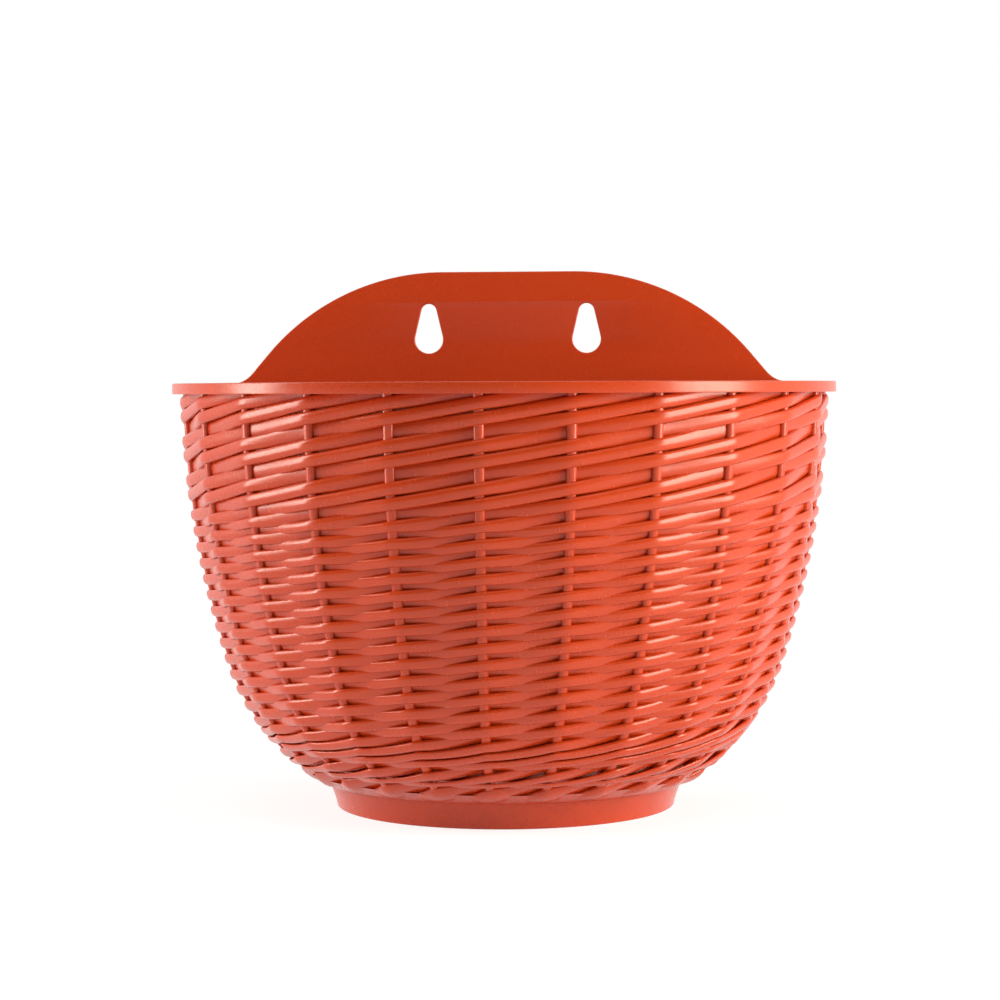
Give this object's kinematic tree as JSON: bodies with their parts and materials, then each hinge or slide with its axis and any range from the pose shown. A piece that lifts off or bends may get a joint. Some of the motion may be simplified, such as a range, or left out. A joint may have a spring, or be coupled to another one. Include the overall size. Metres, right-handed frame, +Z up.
{
  "type": "half-round wall planter",
  "caption": "Half-round wall planter moulded as a woven basket, with a flat arched hanging plate, keyhole slots, a smooth rim band and a plain foot.",
  "frame": {"origin": "centre of the bounding box's underside: on the ground under the foot, midway between the front of the rim and the wall face", "axes": "+X to the viewer's right along the wall, +Y into the wall, +Z up; the round front faces -Y"},
  "size_m": [0.275, 0.1615, 0.2222],
  "materials": {
    "moulding": "satin"
  },
  "bodies": {
    "root": {"tub": "moulding", "foot_ring": "moulding", "rim_band": "moulding", "back_plate": "moulding", "stake_01": "moulding", "stake_02": "moulding", "stake_03": "moulding", "stake_04": "moulding", "stake_05": "moulding", "stake_06": "moulding", "stake_07": "moulding", "stake_08": "moulding", "stake_09": "moulding", "stake_10": "moulding", "stake_11": "moulding", "stake_12": "moulding", "stake_13": "moulding", "upper_weave": "moulding", "middle_weave": "moulding", "lower_weave": "moulding"}
  },
  "joints": []
}
